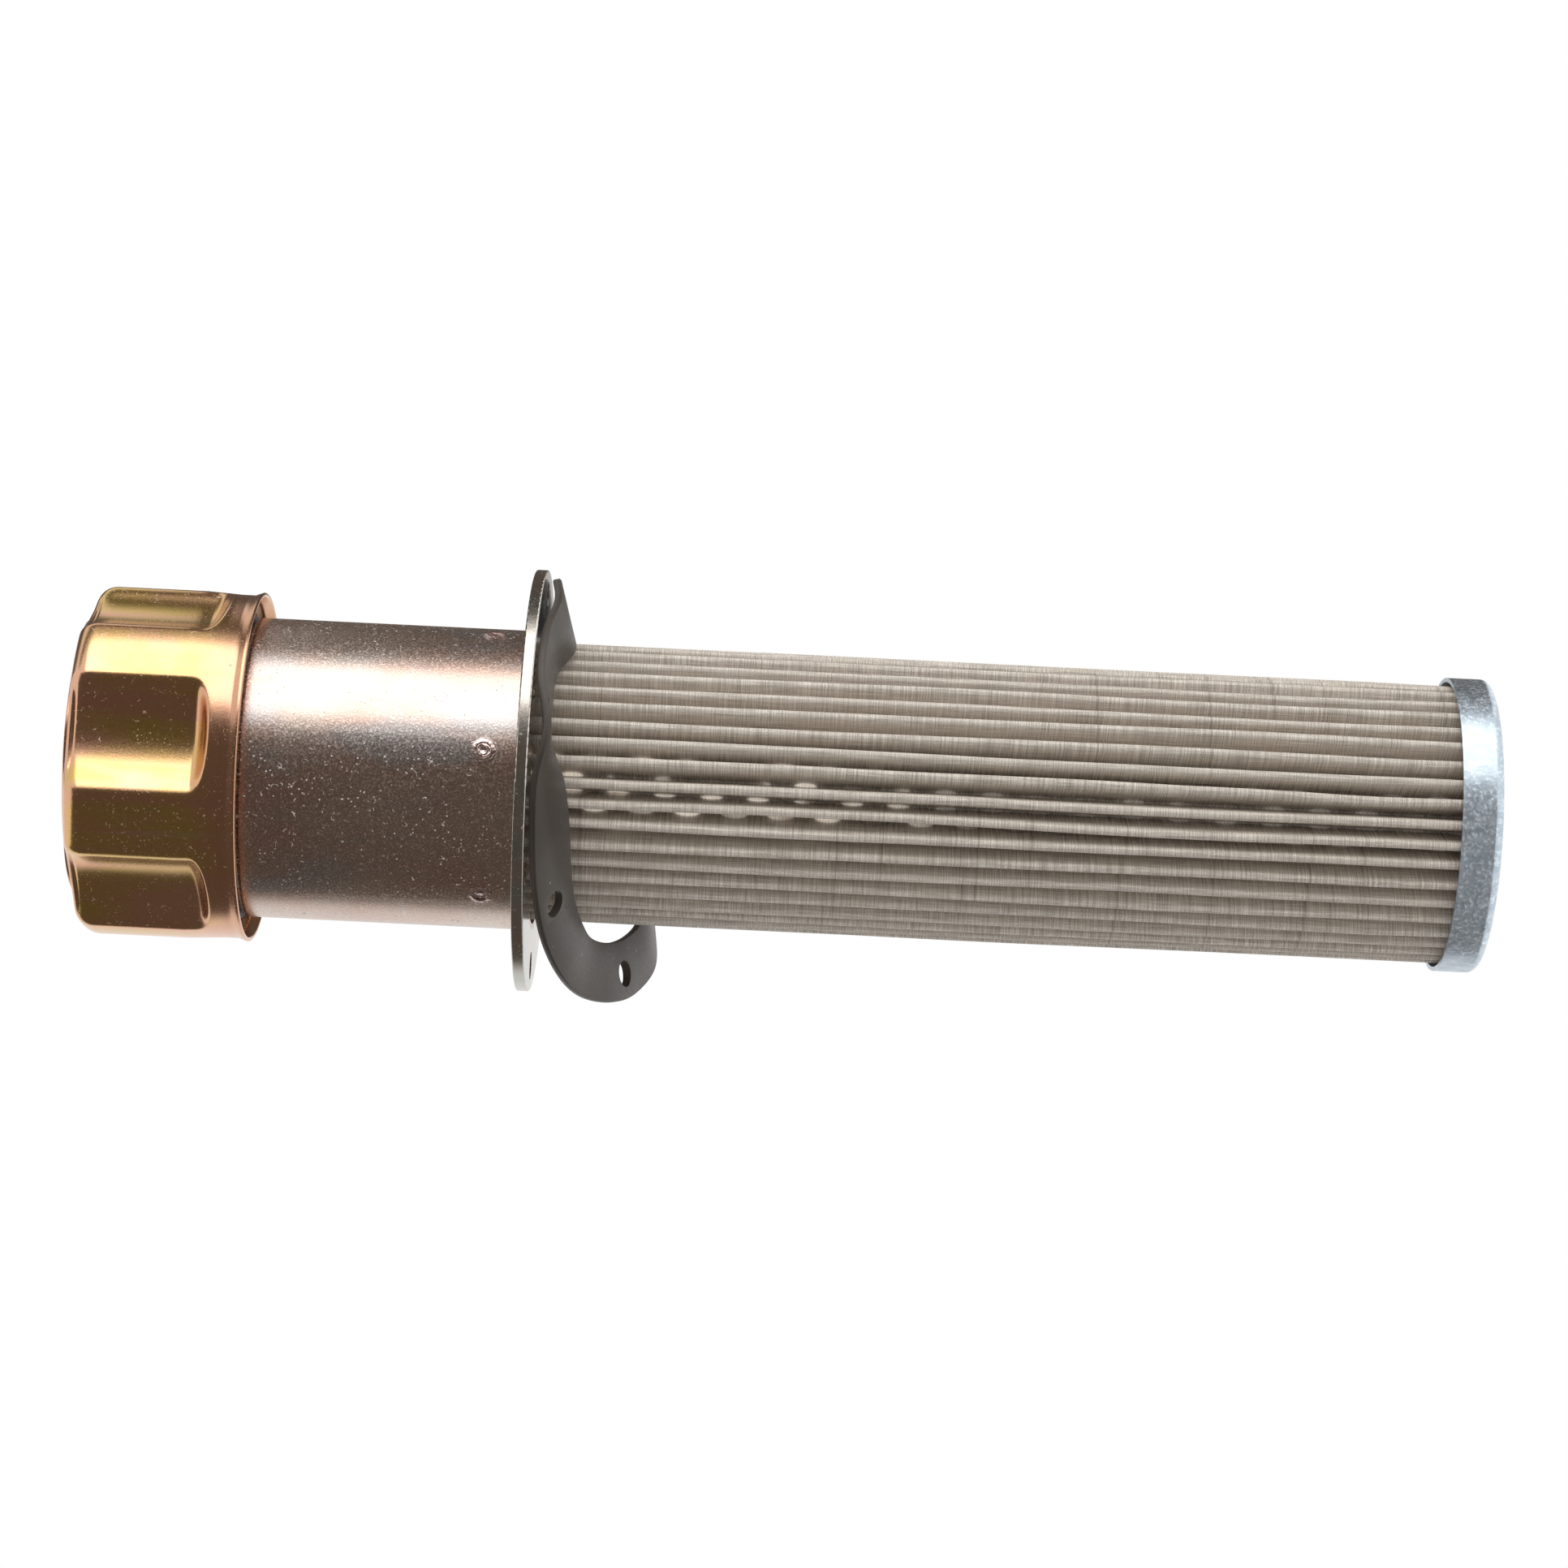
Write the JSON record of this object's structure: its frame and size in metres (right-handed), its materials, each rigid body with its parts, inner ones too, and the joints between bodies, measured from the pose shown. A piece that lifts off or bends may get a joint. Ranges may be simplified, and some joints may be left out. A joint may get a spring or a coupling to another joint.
{
  "type": "hydraulic tank filler strainer",
  "caption": "Hydraulic tank filler with a fluted breather cap, a flanged neck, a loose gasket and a pleated strainer.",
  "frame": {"origin": "centre of the mounting flange's underside", "axes": "+Z along the axis of the neck, towards the cap; the strainer hangs along -Z"},
  "size_m": [0.0845, 0.0832, 0.2749],
  "materials": {
    "cap_zinc": "satin",
    "neck_zinc": "satin",
    "flange_zinc": "satin",
    "end_zinc": "satin",
    "wire_cloth": "satin",
    "core_steel": "satin",
    "gasket_rubber": "matte",
    "seal_rubber": "matte",
    "foam": "matte",
    "inner_steel": "satin"
  },
  "bodies": {
    "root": {"filler_neck": "neck_zinc", "mounting_flange": "flange_zinc", "flange_gasket": "gasket_rubber", "strainer_top_ring": "inner_steel", "pleated_mesh": "wire_cloth", "perforated_core": "core_steel", "mesh_seam_clip": "inner_steel", "end_cap": "end_zinc"},
    "cap": {"cap_shell": "cap_zinc", "breather_foam": "foam", "cap_base_plate": "inner_steel", "cap_seal": "seal_rubber", "plate_spacer": "inner_steel", "bayonet_plate": "inner_steel", "cap_spring": "inner_steel", "cap_stud": "inner_steel"}
  },
  "joints": [
    {"name": "cap_turn", "type": "hinge", "parent": "root", "child": "cap", "pos_m": [0, 0, 0.0572], "axis": [0, 0, 1], "range_deg": [0, 60]}
  ]
}
